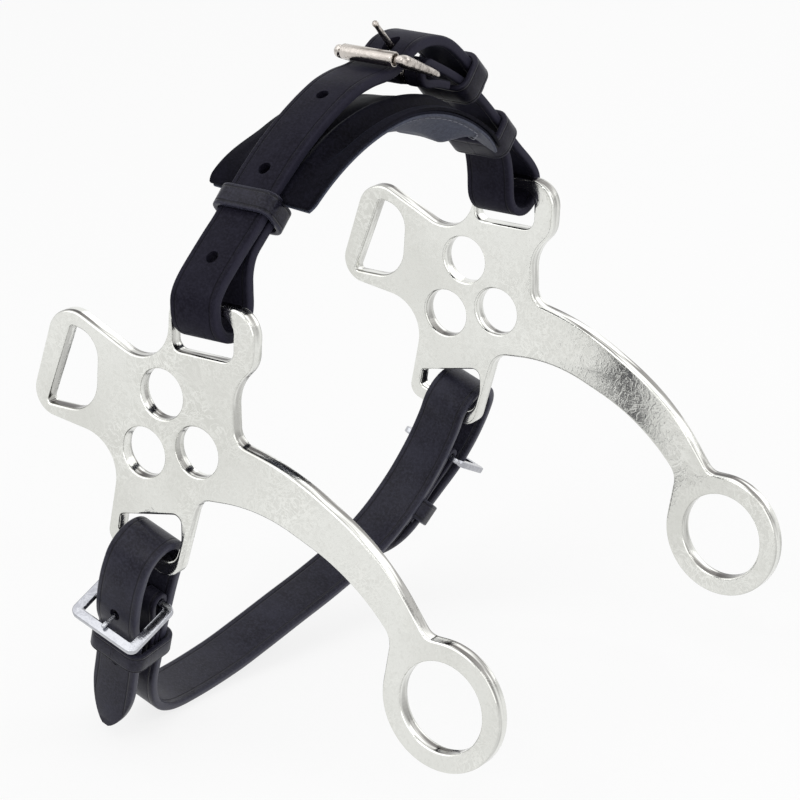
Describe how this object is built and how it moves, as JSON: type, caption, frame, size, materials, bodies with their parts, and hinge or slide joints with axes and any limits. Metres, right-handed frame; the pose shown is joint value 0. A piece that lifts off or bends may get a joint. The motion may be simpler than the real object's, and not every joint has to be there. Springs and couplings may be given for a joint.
{
  "type": "hackamore",
  "caption": "Bitless bridle noseband: two long-shanked steel cheeks hung from a padded, buckled leather noseband and joined by a buckled leather curb strap.",
  "frame": {"origin": "the nose mount: middle of the pad's underside, where it rests on the nose", "axes": "+X along the shanks towards the rein rings, +Y from the near cheek to the far cheek, +Z from the curb strap up to the nose"},
  "size_m": [0.1707, 0.1969, 0.2196],
  "materials": {
    "steel": "polished stainless steel",
    "nickel": "worn nickel plate",
    "chrome": "bright chrome plate",
    "leather": "satin navy-black bridle leather",
    "lining": "soft grey-blue lining leather",
    "padding": "felt"
  },
  "bodies": {
    "noseband": {"noseband_strap": "leather", "buckle_strap": "leather", "nose_pad_outer": "leather", "nose_pad_padding": "padding", "nose_pad_lining": "lining", "near_keeper": "leather", "far_keeper": "leather", "billet_keeper": "leather"},
    "near_hanger": {"near_strap_end": "leather"},
    "far_hanger": {"far_strap_end": "leather"},
    "near_cheek": {"near_cheek_plate": "steel"},
    "far_cheek": {"far_cheek_plate": "steel"},
    "curb": {"curb_strap": "leather", "near_curb_keeper": "leather", "near_curb_chape": "leather", "far_curb_keeper": "leather", "far_curb_chape": "leather"},
    "roller_buckle": {"roller_buckle_frame": "nickel"},
    "roller": {"buckle_roller": "nickel"},
    "roller_tongue": {"roller_buckle_tongue": "nickel"},
    "near_curb_buckle": {"near_curb_buckle_frame": "chrome"},
    "near_curb_tongue": {"near_curb_buckle_tongue": "chrome"},
    "far_curb_buckle": {"far_curb_buckle_frame": "chrome"},
    "far_curb_tongue": {"far_curb_buckle_tongue": "chrome"}
  },
  "joints": [
    {"name": "near_rock", "type": "hinge", "parent": "noseband", "child": "near_hanger", "pos_m": [-0.001, -0.0752, -0.04195], "axis": [0, 1, 0], "range_deg": [-5, 20], "deforming": ["near_strap_end"]},
    {"name": "near_sway", "type": "hinge", "parent": "near_hanger", "child": "near_cheek", "pos_m": [-0.001, -0.0752, -0.04195], "axis": [1, 0, 0], "range_deg": [-4.5, 4.5]},
    {"name": "far_rock", "type": "hinge", "parent": "noseband", "child": "far_hanger", "pos_m": [-0.001, 0.0892, -0.04195], "axis": [0, 1, 0], "range_deg": [-5, 20], "deforming": ["far_strap_end"]},
    {"name": "far_sway", "type": "hinge", "parent": "far_hanger", "child": "far_cheek", "pos_m": [-0.001, 0.0892, -0.04195], "axis": [1, 0, 0], "range_deg": [-4.5, 4.5]},
    {"name": "curb_hang", "type": "hinge", "parent": "near_cheek", "child": "curb", "pos_m": [-0.0195, -0.0752, -0.1283], "axis": [1, 0, 0], "range_deg": [-4.5, 4.5]},
    {"name": "roller_buckle_lift", "type": "hinge", "parent": "noseband", "child": "roller_buckle", "pos_m": [-0.001, 0.03002, 0.00741], "axis": [-1, 0, 0], "range_deg": [0, 5]},
    {"name": "roller_spin", "type": "hinge", "parent": "roller_buckle", "child": "roller", "pos_m": [-0.001, 0.009, 0.0165], "axis": [1, 0, 0], "continuous": true},
    {"name": "roller_tongue_swing", "type": "hinge", "parent": "noseband", "child": "roller_tongue", "pos_m": [-0.001, 0.03002, 0.00741], "axis": [-1, 0, 0], "range_deg": [-2, 7]},
    {"name": "near_curb_buckle_tilt", "type": "hinge", "parent": "curb", "child": "near_curb_buckle", "pos_m": [-0.02826, -0.07473, -0.13921], "axis": [0.9397, 0, -0.342], "range_deg": [0, 10]},
    {"name": "near_curb_tongue_swing", "type": "hinge", "parent": "curb", "child": "near_curb_tongue", "pos_m": [-0.02826, -0.07473, -0.13921], "axis": [-0.9397, 0, 0.342], "range_deg": [0, 3]},
    {"name": "far_curb_buckle_tilt", "type": "hinge", "parent": "curb", "child": "far_curb_buckle", "pos_m": [-0.02908, 0.08741, -0.14147], "axis": [-0.9397, 0, 0.342], "range_deg": [0, 10]},
    {"name": "far_curb_tongue_swing", "type": "hinge", "parent": "curb", "child": "far_curb_tongue", "pos_m": [-0.02908, 0.08741, -0.14147], "axis": [0.9397, 0, -0.342], "range_deg": [0, 3]}
  ],
  "couplings": [
    {"joint": "far_rock", "follows": "near_rock", "ratio": 1},
    {"joint": "far_sway", "follows": "near_sway", "ratio": 1},
    {"joint": "curb_hang", "follows": "near_sway", "ratio": -1}
  ]
}
